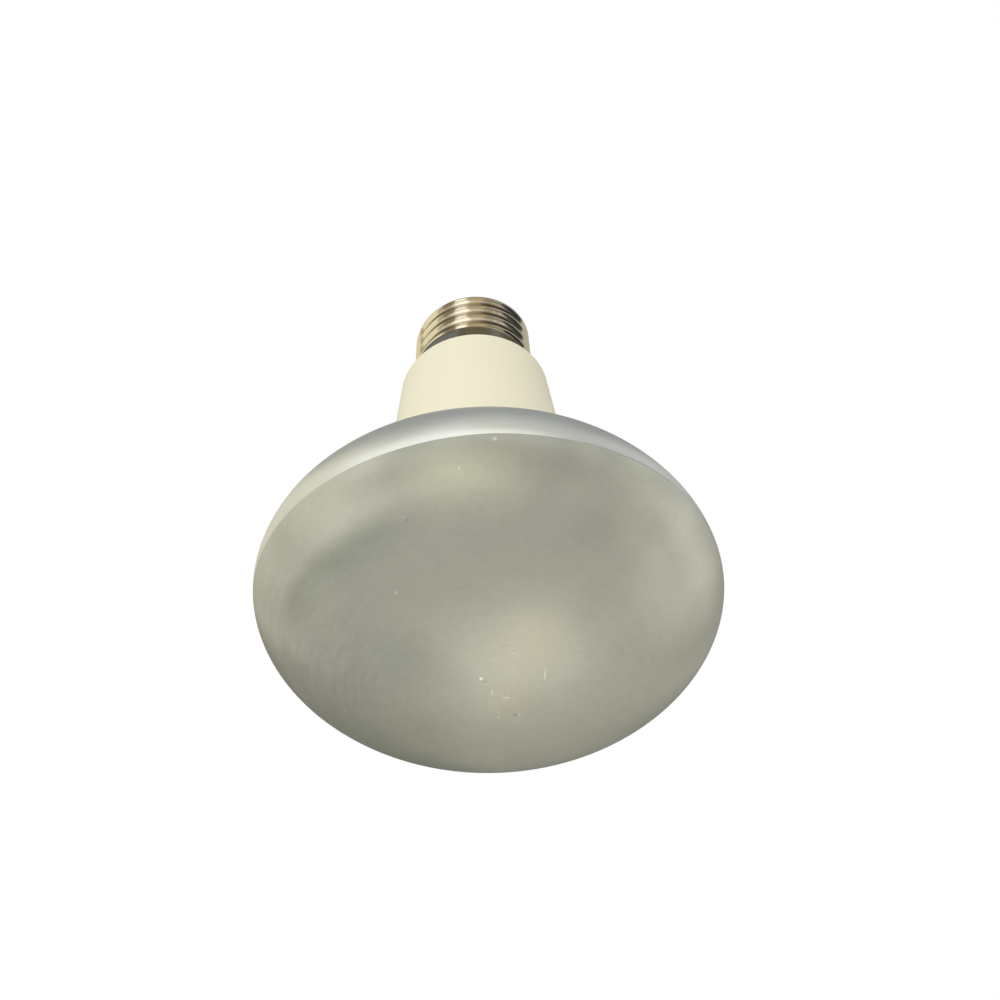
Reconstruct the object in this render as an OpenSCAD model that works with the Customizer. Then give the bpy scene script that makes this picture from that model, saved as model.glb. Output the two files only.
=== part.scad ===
// Self-ballasted reflector lamp: a satin glass bulb in a moulded housing with a round-thread screw cap.
// The lamp hangs cap up on the Z axis. Its origin is the flat end of the centre contact.

/* [Bulb] */
// Greatest diameter of the glass
bulb_d = 80; // [66:1:96]
// Depth of the satin dome in front of the greatest diameter
dome_h = 22.4; // [16:0.2:30]
// Fullness of the dome, where 2 is an ellipse and less is more pointed
dome_fullness_share = 1.84; // [1.7:0.02:2.4]
// Depth of the silvered back, from the greatest diameter to the mouth of the housing
back_h = 29.6; // [27:0.2:36]
// Half depth of the ellipse that rounds the rim towards the back
rim_h = 23.4; // [18:0.2:26]
// Gap between the glass neck and the narrowest place of the housing round it
neck_gap = 0.57; // [0.4:0.01:1.5]
// Radius of the rounded edge at the end of the neck
neck_round = 2; // [1:0.1:3]

/* [Housing] */
// Diameter of the housing at the screw cap
housing_top_d = 32; // [31:0.1:36]
// Diameter of the housing at its mouth
housing_mouth_d = 36.8; // [36:0.1:42]
// Length of the housing between the screw cap and its mouth
housing_h = 33; // [32:0.2:40]
// Wall of the moulding
housing_wall = 1.4; // [1:0.1:1.6]
// Radius of the rounded corner beside the screw cap
corner_r = 1.3; // [0.6:0.1:1.6]
// Radius of the edge at the mouth
mouth_edge_r = 0.5; // [0.2:0.1:0.6]
// Height of the spigot that the screw shell is pushed on
spigot_h = 5.4; // [3:0.1:5.8]
// Width of a rib inside the housing
rib_w = 1.4; // [1:0.1:2.4]
// How far a rib stands out from the wall under the end of the housing
rib_depth = 1; // [0.6:0.1:1.2]
// Depth of the cement between neck and housing
cement_h = 8; // [4:0.2:10]
// How far the cement stays back inside the mouth
cement_inset = 0.4; // [0.2:0.1:1.5]

/* [Screw cap] */
// Height of the screw cap, from the housing to the centre contact
cap_h = 26.6; // [26:0.1:28]
// Diameter over the thread crests
thread_d = 26.3; // [26.15:0.05:26.45]
// Diameter in the thread grooves
thread_root_d = 24.1; // [23.96:0.02:24.26]
// Pitch of the round thread, seven turns to an inch
thread_pitch = 3.629; // [3.4:0.001:3.8]
// Turn of the thread about the axis, in degrees
thread_turn = 125; // [0:5:355]
// Thickness of the rolled sheet
shell_wall = 0.3; // [0.2:0.05:0.4]
// Height of the plain skirt beside the housing
skirt_h = 6.4; // [6:0.1:8]
// Radius of the roll at the contact end of the shell
shell_roll_r = 2.4; // [1.8:0.1:2.8]
// Height from the end of the shell to the centre contact
shell_to_tip = 4.2; // [3.6:0.1:5]
// Diameter of the opening in the end of the shell
shell_eye_d = 19.4; // [18.8:0.1:20]
// Depth of the insulator inside the shell
insulator_depth = 3; // [2.6:0.1:5]
// Diameter of the plate of the centre contact
contact_d = 11.2; // [9.6:0.1:12]
// Thickness of the contact plate
contact_wall = 0.4; // [0.3:0.05:0.6]
// Bore of the contact for the wire
contact_bore_d = 2; // [1.6:0.1:2.4]
// Length of the tube under the contact plate
contact_tube_h = 2.2; // [1.4:0.1:2.6]
// Diameter of the solder at its foot
solder_d = 6.8; // [5:0.1:8]
// Diameter of the flat end of the solder
solder_flat_d = 4; // [3:0.1:4.6]
// Height of the solder
solder_h = 0.9; // [0.6:0.05:1.2]

/* [Driver] */
// Thickness of the circuit board
board_t = 1.2; // [0.8:0.1:1.6]
// Space between the circuit board and the end of the neck
board_to_neck = 4; // [3.6:0.1:6]
// Diameter of the electrolytic capacitor
can_d = 10; // [8:0.1:10.4]
// Height of the electrolytic capacitor
can_h = 18; // [12:0.5:19]
// Width of the choke core
choke_w = 5; // [4:0.1:5.2]
// Length of the choke core
choke_l = 13; // [11.6:0.1:13.4]
// Height of the choke core
choke_h = 11.6; // [9:0.1:11.8]
// Width of the outer legs and the yokes of the choke core
choke_leg = 1.6; // [1.2:0.1:1.8]
// Thickness of the choke winding
choke_coil_t = 1.6; // [1:0.1:1.8]
// Length of the film capacitor as a share of the room between the toroid and the ribs
film_l_share = 0.78; // [0.5:0.01:0.85]
// Width of the film capacitor as a share of the room between the choke and the ribs
film_w_share = 0.57; // [0.35:0.01:0.6]
// Height of the film capacitor
film_h = 8; // [5:0.1:10]
// Diameter of the toroid core
toroid_d = 7; // [6:0.1:7.2]
// Height of the toroid core
toroid_h = 3; // [2:0.1:4]
// Number of turns on the toroid core
toroid_turns = 6; // [3:1:8]
// Diameter of a transistor body as a share of the room between the fuse resistor and the ribs
transistor_d_share = 0.79; // [0.65:0.01:0.8]
// Height of a transistor body
transistor_h = 4.6; // [4:0.1:5.2]
// Diameter of a diode body
diode_d = 2.5; // [2:0.1:2.7]
// Length of a diode body
diode_l = 4.4; // [3.6:0.1:5]
// Diameter of the fuse resistor
fuse_d = 2.6; // [2:0.1:3]
// Length of the fuse resistor
fuse_l = 7; // [5:0.1:8]
// Diameter of the connecting wires
wire_d = 0.7; // [0.5:0.05:0.8]

/* [Hidden] */
$fn = 96;

// Clearances and the overrun of a cut
fit_gap = 0.1;
part_gap = 0.5;
cut_over = 0.5;
bury = 0.4;

// Heights along the axis, from the contact down to the face
z_shoulder = -cap_h;
z_mouth = z_shoulder - housing_h;
z_wide = z_mouth - back_h;
z_face = z_wide - dome_h;

// Radii of the glass and how its outline is divided
bulb_r = bulb_d / 2;
rim_sweep = 33;
rim_r = bulb_r * cos(rim_sweep);
rim_z = z_wide + rim_h * sin(rim_sweep);
rim_reach_share = 0.52;
neck_reach_share = 0.22;
dome_steps = 26;
rim_steps = 9;
flank_steps = 14;
round_steps = 6;

// Housing, worked out from the shell that it carries
shell_r = thread_d / 2;
shell_in_r = shell_r - shell_wall;
spigot_r = shell_in_r - fit_gap;
spigot_in_r = spigot_r - housing_wall;
top_r = housing_top_d / 2;
mouth_r = housing_mouth_d / 2;
z_board_top = z_mouth + neck_seat_h() + board_to_neck + board_t;
z_board_foot = z_board_top - board_t;
z_neck_end = z_board_foot - board_to_neck;
z_end_wall = z_shoulder - housing_wall;
rib_in_r = inner_r(z_end_wall) - rib_depth;
rib_angles = [60, 180, 300];
board_r = inner_r(z_board_top) - 2 * fit_gap;
neck_r = min(inner_r(z_neck_end), inner_r(z_mouth)) - neck_gap;

// Shell thread and rolled end
root_depth = shell_r - thread_root_d / 2;
ring_count = 48;
rings_in_pitch = 10;
z_skirt_top = z_shoulder + skirt_h;
z_shell_end = -shell_to_tip;
z_roll = z_shell_end - shell_roll_r;
thread_h = z_roll - z_skirt_top;
thread_rings = round(thread_h / thread_pitch * rings_in_pitch);
runout_h = thread_pitch / 3;
roll_steps = 6;
roll_sweep = 84;

// Insulator and contact
eye_r = shell_eye_d / 2;
contact_r = contact_d / 2;
z_plate = -solder_h;
z_insulator_foot = z_roll - insulator_depth;
insulator_r = thread_root_d / 2 - shell_wall - fit_gap;
tube_r = contact_bore_d / 2 + contact_wall;

// Places on the circuit board
wire_r = wire_d / 2;
wire_sides = 10;
wire_steps = 8;
choke_wall = 0.6;
choke_reach = choke_w / 2 + fit_gap + choke_wall + choke_coil_t + fit_gap;
choke_x = part_gap + choke_reach;
can_place = [-(can_d + part_gap) / 2, -part_gap * 2];
toroid_wire = 0.3;
toroid_section = 1.5;
toroid_wound_r = toroid_d / 2 + toroid_wire;
toroid_reach = inner_r(z_board_top + toroid_h) - toroid_wound_r - part_gap;
toroid_angle = angle_beside(can_place, can_d / 2 + 2 * part_gap + toroid_wound_r, toroid_reach);
toroid_place = toroid_reach * [cos(toroid_angle), sin(toroid_angle)];
film_y = choke_l / 2 + part_gap;
film_w = film_w_share * (rib_in_r - film_y);
film_x = toroid_place.x + toroid_wound_r + part_gap;
film_l = film_l_share * (sqrt(pow(rib_in_r, 2) - pow(film_y + film_w, 2)) - film_x);
film_place = [film_x + film_l / 2, film_y + film_w / 2];
fuse_place = [-part_gap, -choke_l / 2 - part_gap - wire_r];
transistor_d = transistor_d_share * (rib_in_r + fuse_place.y - wire_r - part_gap / 2);
transistor_y = fuse_place.y - wire_r - part_gap / 2 - transistor_d / 2;
transistor_places = [[-transistor_d * 0.85, transistor_y], [transistor_d * 0.6, transistor_y]];
transistor_stand = 2.6;
pin_w = 0.45;
pin_pitch = transistor_d * 0.265;
diode_pitch = 4;
diode_shares = [-1.5, -0.5, 0.5, 1.5];
diode_drop = 0.3;
diode_wire_r = 0.3;
lamp_lead_r = 10;
lamp_lead_angles = [45, 135, 225, 315];
shell_lead_angle = 215;
shell_lead_r = spigot_in_r - wire_r - 2 * fit_gap;
z_spigot_top = z_shoulder + spigot_h;
z_shell_lead = z_spigot_top + wire_r + 2 * fit_gap;
z_fuse_top = z_shell_lead - part_gap;

// Length of neck inside the housing
function neck_seat_h() = cement_inset + cement_h + neck_round + 2 * part_gap;
// Outer and inner radius of the tapered housing at a height
function outer_r(z) = top_r + (mouth_r - top_r) * (z_shoulder - z) / housing_h;
function inner_r(z) = outer_r(z) - housing_wall;
// Angle of a place at a reach from the axis and at a distance from another place, seen clockwise from it
function angle_beside(place, distance, reach) =
    let (far = norm(place))
    atan2(place.y, place.x) - acos((pow(reach, 2) + pow(far, 2) - pow(distance, 2)) / (2 * reach * far));

// Half outline of the dome, from the front pole to the greatest diameter
function dome_points() = [
    for (i = [0 : dome_steps - 1])
        let (turn = 90 * i / dome_steps, power = 2 / dome_fullness_share)
        [bulb_r * pow(sin(turn), power), z_wide - dome_h * pow(cos(turn), power)]
];
// Rounded rim, from the greatest diameter towards the back
function rim_points() = [
    for (i = [0 : rim_steps])
        let (turn = rim_sweep * i / rim_steps)
        [bulb_r * cos(turn), z_wide + rim_h * sin(turn)]
];
// A point on a cubic curve between two ends with two handles
function curve_point(p, t) =
    p[0] * pow(1 - t, 3) + 3 * p[1] * t * pow(1 - t, 2) + 3 * p[2] * t * t * (1 - t) + p[3] * pow(t, 3);
// Silvered flank, tangent to the rim at one end and to the neck at the other
function flank_points() =
    let (
        start = [rim_r, rim_z],
        end = [neck_r, z_mouth],
        run = norm(end - start),
        away = [-bulb_r * sin(rim_sweep), rim_h * cos(rim_sweep)],
        handles = [
            start,
            start + away / norm(away) * run * rim_reach_share,
            end - [0, run * neck_reach_share],
            end
        ]
    )
    [for (i = [1 : flank_steps]) curve_point(handles, i / flank_steps)];
// Quarter of a circle about a centre, between two angles
function arc_points(centre, r, from, to, steps) = [
    for (i = [0 : steps])
        let (turn = from + (to - from) * i / steps)
        centre + r * [cos(turn), sin(turn)]
];

// Rings of a round wire along a path that never runs along X
function wire_rings(path, r) = [
    for (k = [0 : len(path) - 1], i = [0 : wire_sides - 1])
        let (
            run = path[min(k + 1, len(path) - 1)] - path[max(k - 1, 0)],
            across = cross(run, [1, 0, 0]) / norm(cross(run, [1, 0, 0])),
            over = cross(run, across) / norm(run),
            turn = 360 * i / wire_sides
        )
        path[k] + r * (cos(turn) * across + sin(turn) * over)
];

// A bent wire as one swept solid with flat ends
module bent_wire(path, r) {
    count = len(path);
    sides = [
        for (k = [0 : count - 2], i = [0 : wire_sides - 1])
            let (a = k * wire_sides + i, b = k * wire_sides + (i + 1) % wire_sides)
            [a, a + wire_sides, b + wire_sides, b]
    ];
    ends = [
        [for (i = [0 : wire_sides - 1]) i],
        [for (i = [wire_sides - 1 : -1 : 0]) (count - 1) * wire_sides + i]
    ];
    polyhedron(wire_rings(path, r), concat(sides, ends), convexity = 4);
}

// A rounded rectangle as a plate
module round_plate(l, w, r, h) {
    linear_extrude(h) {
        square([l - 2 * r, w], center = true);
        square([l, w - 2 * r], center = true);
        for (x = [-1, 1], y = [-1, 1])
            translate([x * (l / 2 - r), y * (w / 2 - r)]) circle(r = r, $fn = 24);
    }
}

module bulb() {
    color([0.66, 0.66, 0.6])
        rotate_extrude()
            polygon(concat(
                [[0, z_face]],
                [for (i = [1 : dome_steps - 1]) dome_points()[i]],
                rim_points(),
                flank_points(),
                arc_points([neck_r - neck_round, z_neck_end - neck_round], neck_round, 0, 90, round_steps),
                [[0, z_neck_end]]
            ));
}

module housing_body() {
    rotate_extrude()
        polygon(concat(
            [[spigot_in_r, z_spigot_top], [spigot_r, z_spigot_top], [spigot_r, z_shoulder]],
            arc_points([top_r - corner_r, z_shoulder - corner_r], corner_r, 90, 0, round_steps),
            arc_points([mouth_r - mouth_edge_r, z_mouth + mouth_edge_r], mouth_edge_r, 0, -90, round_steps),
            [[inner_r(z_mouth), z_mouth], [inner_r(z_end_wall), z_end_wall], [spigot_in_r, z_end_wall]]
        ));
}

// Rib that the circuit board rests against, following the taper of the wall
module housing_rib() {
    rotate([90, 0, 0])
        linear_extrude(rib_w, center = true)
            polygon([
                [rib_in_r, z_board_top],
                [inner_r(z_board_top) + bury, z_board_top],
                [inner_r(z_end_wall) + bury, z_end_wall + bury],
                [rib_in_r, z_end_wall + bury]
            ]);
}

module housing() {
    color([0.93, 0.91, 0.83]) {
        housing_body();
        for (turn = rib_angles) rotate(turn) housing_rib();
    }
}

module neck_cement() {
    z_low = z_mouth + cement_inset;
    z_high = z_low + cement_h;
    color([0.85, 0.83, 0.78])
        rotate_extrude()
            polygon([
                [neck_r, z_low], [inner_r(z_low), z_low], [inner_r(z_high), z_high], [neck_r, z_high]
            ]);
}

// Thread height between groove and crest for a place on the shell, with the crests rising anticlockwise
function thread_wave(z, turn) =
    (1 + cos(360 * (z - z_skirt_top) / thread_pitch - turn + thread_turn)) / 2;
// Share of the thread that is present, running out into the plain skirt
function thread_share(z) = min(1, max(0, (z - z_skirt_top) / runout_h));
// Outer radius of the threaded wall
function shell_wall_r(z, turn) =
    shell_r - root_depth * thread_share(z) * (1 - thread_wave(z, turn));
// Rings of the shell's outer face: height, how far the roll has turned, both in order to the eye
function shell_rings() = concat(
    [[z_shoulder, 0], [z_shoulder + skirt_h / 2, 0], [z_skirt_top, 0]],
    [for (i = [1 : thread_rings]) [z_skirt_top + thread_h * i / thread_rings, 0]],
    [for (i = [1 : roll_steps]) [z_roll, roll_sweep * i / roll_steps]]
);
// A point of the shell on a ring, moved in from the outer face by the sheet
function shell_point(ring, turn, inset) =
    let (
        wall_r = shell_wall_r(ring[0], turn),
        lift = shell_roll_r - inset,
        flat = max(0, wall_r - shell_roll_r - eye_r) * ring[1] / roll_sweep,
        r = wall_r - shell_roll_r - flat + lift * cos(ring[1]),
        z = ring[0] + lift * sin(ring[1])
    )
    [r * cos(turn), r * sin(turn), z];

// Rolled sheet shell: rings up the outer face and back down the inner face, closed into one band
module screw_shell() {
    rings = shell_rings();
    count = len(rings);
    points = [
        for (k = [0 : 2 * count - 1], i = [0 : ring_count - 1])
            shell_point(
                rings[k < count ? k : 2 * count - 1 - k], 360 * i / ring_count, k < count ? 0 : shell_wall
            )
    ];
    faces = [
        for (k = [0 : 2 * count - 1], i = [0 : ring_count - 1], half = [0, 1])
            let (
                up = (k + 1) % (2 * count),
                on = (i + 1) % ring_count,
                a = k * ring_count + i,
                b = k * ring_count + on,
                c = up * ring_count + on,
                d = up * ring_count + i
            )
            half == 0 ? [a, c, b] : [a, d, c]
    ];
    color([0.8, 0.76, 0.68]) polyhedron(points, faces, convexity = 6);
}

// Black insulator, held behind the rolled end and rising as a cone to the contact
module insulator() {
    neck_in_r = eye_r - fit_gap;
    z_step = z_roll + fit_gap;
    z_lip = z_shell_end + shell_wall;
    z_cone = z_plate - contact_wall;
    color([0.07, 0.07, 0.08])
        rotate_extrude()
            polygon([
                [tube_r, z_insulator_foot],
                [insulator_r, z_insulator_foot],
                [insulator_r, z_roll - shell_wall],
                [neck_in_r, z_step],
                [neck_in_r, z_lip],
                [contact_r + contact_wall, z_cone],
                [tube_r, z_cone]
            ]);
}

// Contact plate with its tube through the insulator
module centre_contact() {
    bore_r = contact_bore_d / 2;
    z_tube = z_plate - contact_wall - contact_tube_h;
    color([0.78, 0.66, 0.4])
        rotate_extrude()
            polygon([
                [bore_r, z_tube],
                [tube_r, z_tube],
                [tube_r, z_plate - contact_wall],
                [contact_r, z_plate - contact_wall],
                [contact_r - contact_wall / 2, z_plate],
                [bore_r, z_plate]
            ]);
}

// Solder over the contact's bore, with the flat end that the holder's spring touches
module contact_solder() {
    foot_r = solder_d / 2;
    flat_r = solder_flat_d / 2;
    color([0.72, 0.72, 0.72])
        rotate_extrude()
            polygon(concat(
                [[0, z_plate], [foot_r, z_plate]],
                [
                    for (i = [1 : round_steps])
                        let (turn = 90 * i / round_steps)
                        [flat_r + (foot_r - flat_r) * cos(turn), z_plate + solder_h * sin(turn)]
                ],
                [[0, 0]]
            ));
}

module circuit_board() {
    color([0.55, 0.45, 0.25]) translate([0, 0, z_board_foot]) cylinder(h = board_t, r = board_r);
}

// Aluminium can in its sleeve, with the crimp above its rubber seal
module electrolytic_capacitor() {
    can_r = can_d / 2;
    edge = can_r / 6;
    crimp_z = can_r / 2;
    color([0.15, 0.17, 0.22])
        translate([can_place.x, can_place.y, z_board_top])
            rotate_extrude()
                polygon(concat(
                    [[0, 0], [can_r - edge / 2, 0], [can_r, edge / 2], [can_r, crimp_z - edge]],
                    [[can_r - edge / 2, crimp_z], [can_r, crimp_z + edge]],
                    arc_points([can_r - edge, can_h - edge], edge, 0, 90, round_steps),
                    [[0, can_h]]
                ));
}

// Ferrite core with two windows beside its centre leg
module choke_core() {
    window_w = choke_l / 2 - choke_leg - choke_leg;
    color([0.2, 0.2, 0.22])
        translate([choke_x, 0, z_board_top])
            difference() {
                translate([-choke_w / 2, -choke_l / 2, 0]) cube([choke_w, choke_l, choke_h]);
                for (side = [-1, 1])
                    translate([-choke_w / 2 - cut_over, side * (choke_leg + window_w / 2) - window_w / 2, choke_leg])
                        cube([choke_w + 2 * cut_over, window_w, choke_h - 2 * choke_leg]);
            }
}

// Bobbin round the centre leg: tube, two flanges and the feet that stand on the board
module choke_bobbin() {
    tube_x = choke_w / 2 + fit_gap + choke_wall;
    tube_y = choke_leg + fit_gap + choke_wall;
    flange_y = choke_l / 2 - choke_leg - fit_gap;
    z_low = choke_leg + fit_gap;
    z_high = choke_h - choke_leg - fit_gap;
    color([0.85, 0.82, 0.7])
        translate([choke_x, 0, z_board_top])
            difference() {
                union() {
                    translate([-tube_x, -tube_y, z_low]) cube([2 * tube_x, 2 * tube_y, z_high - z_low]);
                    for (z = [z_low, z_high - choke_wall])
                        translate([-choke_reach, -flange_y, z])
                            cube([2 * choke_reach, 2 * flange_y, choke_wall]);
                    for (side = [-1, 1])
                        translate([
                            side * (choke_reach + choke_w / 2 + fit_gap) / 2 - (choke_reach - choke_w / 2 - fit_gap) / 2,
                            -flange_y,
                            0
                        ])
                            cube([choke_reach - choke_w / 2 - fit_gap, 2 * flange_y, z_low + choke_wall]);
                }
                translate([-choke_w / 2 - fit_gap, -choke_leg - fit_gap, -cut_over])
                    cube([choke_w + 2 * fit_gap, 2 * (choke_leg + fit_gap), choke_h + 2 * cut_over]);
            }
}

module choke_winding() {
    inner_x = choke_w / 2 + fit_gap + choke_wall;
    inner_y = choke_leg + fit_gap + choke_wall;
    coil_y = choke_l / 2 - choke_leg - 2 * fit_gap - inner_y;
    z_low = choke_leg + fit_gap + choke_wall;
    coil_h = choke_h - 2 * z_low;
    color([0.72, 0.42, 0.2])
        translate([choke_x, 0, z_board_top + z_low])
            difference() {
                round_plate(2 * (inner_x + choke_coil_t), 2 * (inner_y + coil_y), coil_y / 2, coil_h);
                translate([-inner_x, -inner_y, -cut_over]) cube([2 * inner_x, 2 * inner_y, coil_h + 2 * cut_over]);
            }
}

module film_capacitor() {
    color([0.55, 0.12, 0.1])
        translate([film_place.x, film_place.y, z_board_top]) round_plate(film_l, film_w, film_w / 3, film_h);
}

module toroid_core() {
    color([0.25, 0.25, 0.27])
        translate([toroid_place.x, toroid_place.y, z_board_top + toroid_wire + fit_gap / 2])
            difference() {
                cylinder(h = toroid_h, d = toroid_d);
                translate([0, 0, -cut_over])
                    cylinder(h = toroid_h + 2 * cut_over, d = toroid_d - 2 * toroid_section);
            }
}

// One turn of wire, square round the section of the toroid core
module toroid_turn() {
    gap = fit_gap / 2;
    in_r = toroid_d / 2 - toroid_section - gap;
    in_w = toroid_section + 2 * gap;
    in_h = toroid_h + 2 * gap;
    translate([0, toroid_wire / 2, z_board_top + toroid_wire])
        rotate([90, 0, 0])
            linear_extrude(toroid_wire)
                difference() {
                    translate([in_r - toroid_wire, -toroid_wire])
                        square([in_w + 2 * toroid_wire, in_h + 2 * toroid_wire]);
                    translate([in_r, 0]) square([in_w, in_h]);
                }
}

module toroid_winding() {
    color([0.75, 0.45, 0.2])
        translate([toroid_place.x, toroid_place.y, 0])
            for (i = [0 : toroid_turns - 1]) rotate(360 * i / toroid_turns) toroid_turn();
}

// Half-round transistor on three flat pins
module transistor() {
    flat_y = transistor_d / 4;
    difference() {
        translate([0, 0, transistor_stand]) cylinder(h = transistor_h, d = transistor_d);
        translate([-transistor_d / 2 - cut_over, flat_y, transistor_stand - cut_over])
            cube([transistor_d + 2 * cut_over, transistor_d, transistor_h + 2 * cut_over]);
    }
    for (i = [-1, 0, 1])
        translate([i * pin_pitch - pin_w / 2, -pin_w / 2, 0]) cube([pin_w, pin_w, transistor_stand + bury]);
}

module transistors() {
    color([0.1, 0.1, 0.1])
        for (place = transistor_places)
            translate([place.x, place.y, z_board_top]) transistor();
}

// Diode under the board, its two wires bent up to it
module diode() {
    axis_z = -diode_drop - diode_d / 2;
    reach = diode_l / 2 + diode_wire_r * 2;
    translate([0, diode_l / 2, axis_z]) rotate([90, 0, 0]) cylinder(h = diode_l, d = diode_d, $fn = 32);
    for (side = [-1, 1]) {
        translate([0, side * reach, axis_z - diode_wire_r])
            cylinder(h = diode_wire_r - axis_z, r = diode_wire_r, $fn = 24);
        translate([-diode_wire_r / 2, side * reach / 2 - reach / 2, axis_z - diode_wire_r / 2])
            cube([diode_wire_r, reach, diode_wire_r]);
    }
}

module rectifier_diodes() {
    color([0.08, 0.08, 0.08])
        for (share = diode_shares) translate([share * diode_pitch, 0, z_board_foot]) diode();
}

// Fuse resistor standing in the shell, with its lower wire down to the board
module fuse_resistor() {
    fuse_r = fuse_d / 2;
    waist_r = fuse_r * 0.85;
    color([0.45, 0.55, 0.4])
        translate([fuse_place.x, fuse_place.y, 0]) {
            rotate_extrude($fn = 48)
                polygon([
                    [0, z_fuse_top - fuse_l],
                    [fuse_r, z_fuse_top - fuse_l],
                    [fuse_r, z_fuse_top - fuse_l * 0.75],
                    [waist_r, z_fuse_top - fuse_l * 0.7],
                    [waist_r, z_fuse_top - fuse_l * 0.3],
                    [fuse_r, z_fuse_top - fuse_l * 0.25],
                    [fuse_r, z_fuse_top],
                    [0, z_fuse_top]
                ]);
            translate([0, 0, z_board_top])
                cylinder(h = z_fuse_top - fuse_l / 2 - z_board_top, r = wire_r, $fn = 24);
        }
}

// Wire from the fuse resistor through the insulator to the solder
module contact_lead() {
    foot = [fuse_place.x, fuse_place.y, z_fuse_top];
    start = foot + [0, 0, part_gap];
    bend = [0, 0, z_insulator_foot];
    top = [0, 0, z_plate];
    lift = (bend - start).z / 2 * [0, 0, 1];
    handles = [start, start + lift, bend - lift, bend];
    curve = [for (i = [0 : wire_steps]) curve_point(handles, i / wire_steps)];
    color([0.75, 0.75, 0.72]) bent_wire(concat([foot], curve, [top]), wire_r);
}

// Wire from the board over the end of the spigot to the inside of the shell
module shell_lead() {
    foot = [0, shell_lead_r, z_board_top];
    top = [0, shell_lead_r, z_shell_lead - wire_d];
    end = [0, shell_in_r - fit_gap, z_shell_lead];
    handles = [top, top + [0, 0, wire_d], end - [0, wire_d, 0], end];
    color([0.75, 0.75, 0.72])
        rotate(shell_lead_angle - 90)
            bent_wire(concat([foot], [for (i = [0 : wire_steps]) curve_point(handles, i / wire_steps)]), wire_r);
}

// Four wires from the sealed bulb to the underside of the board
module lamp_leads() {
    color([0.75, 0.72, 0.65])
        for (turn = lamp_lead_angles)
            rotate(turn)
                translate([lamp_lead_r, 0, z_neck_end])
                    cylinder(h = board_to_neck, r = wire_r, $fn = 24);
}

bulb();
housing();
neck_cement();
screw_shell();
insulator();
centre_contact();
contact_solder();
circuit_board();
electrolytic_capacitor();
choke_core();
choke_bobbin();
choke_winding();
film_capacitor();
toroid_core();
toroid_winding();
transistors();
rectifier_diodes();
fuse_resistor();
contact_lead();
shell_lead();
lamp_leads();
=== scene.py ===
"""Looks of a self-ballasted reflector lamp.

It has satin glass, a silvered back, a cream housing and a nickel-plated screw cap.
"""

import math

import bmesh
import bpy
from mathutils import Matrix, Vector


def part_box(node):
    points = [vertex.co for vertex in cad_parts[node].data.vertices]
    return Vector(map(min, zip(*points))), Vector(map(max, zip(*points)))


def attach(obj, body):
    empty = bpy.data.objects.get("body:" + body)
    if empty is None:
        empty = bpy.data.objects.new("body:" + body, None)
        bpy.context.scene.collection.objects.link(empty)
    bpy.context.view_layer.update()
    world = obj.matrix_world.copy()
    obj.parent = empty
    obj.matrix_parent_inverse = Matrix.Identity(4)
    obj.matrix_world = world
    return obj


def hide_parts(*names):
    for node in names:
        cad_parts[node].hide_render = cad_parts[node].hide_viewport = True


bl_info = {
    "name": "Reflector lamp",
    "version": (1, 0, 0),
    "blender": (4, 5, 0),
    "location": "3D View > Sidebar > Lamp",
    "description": "Builds the glass, housing, screw cap and finishes of a reflector lamp",
    "category": "Object",
}

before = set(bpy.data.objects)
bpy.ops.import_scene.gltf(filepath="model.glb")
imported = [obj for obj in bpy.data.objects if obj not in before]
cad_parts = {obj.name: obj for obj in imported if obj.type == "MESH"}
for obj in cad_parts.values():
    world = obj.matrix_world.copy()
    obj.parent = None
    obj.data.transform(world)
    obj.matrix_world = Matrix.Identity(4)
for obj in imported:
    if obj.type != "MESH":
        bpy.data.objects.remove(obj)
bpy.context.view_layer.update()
MM = 0.001


def node_foot(node):
    """Lowest height of a node in metres."""
    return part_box(node)[0].z


def node_top(node):
    """Highest height of a node in metres."""
    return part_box(node)[1].z


def node_radius(node):
    """Largest distance of a turned node from the axis in metres."""
    return max(math.hypot(v.co.x, v.co.y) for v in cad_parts[node].data.vertices)


# Heights and radii that the solid model gives
FACE_Z = node_foot("bulb")
NECK_END_Z = node_top("bulb")
MOUTH_Z = node_foot("housing")
SPIGOT_TOP_Z = node_top("housing")
SHOULDER_Z = node_foot("screw_shell")
SHELL_END_Z = node_top("screw_shell")
BOARD_TOP_Z = node_top("circuit_board")
PLATE_Z = node_top("centre_contact")
BULB_R = node_radius("bulb")
SHELL_R = node_radius("screw_shell")
PLATE_R = node_radius("centre_contact")
INSULATOR_R = node_radius("insulator")


def length(name, value, description):
    """A size in millimetres as a property in metres."""
    return bpy.props.FloatProperty(
        name=name, description=description, default=value * MM, unit="LENGTH", precision=5)


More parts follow.
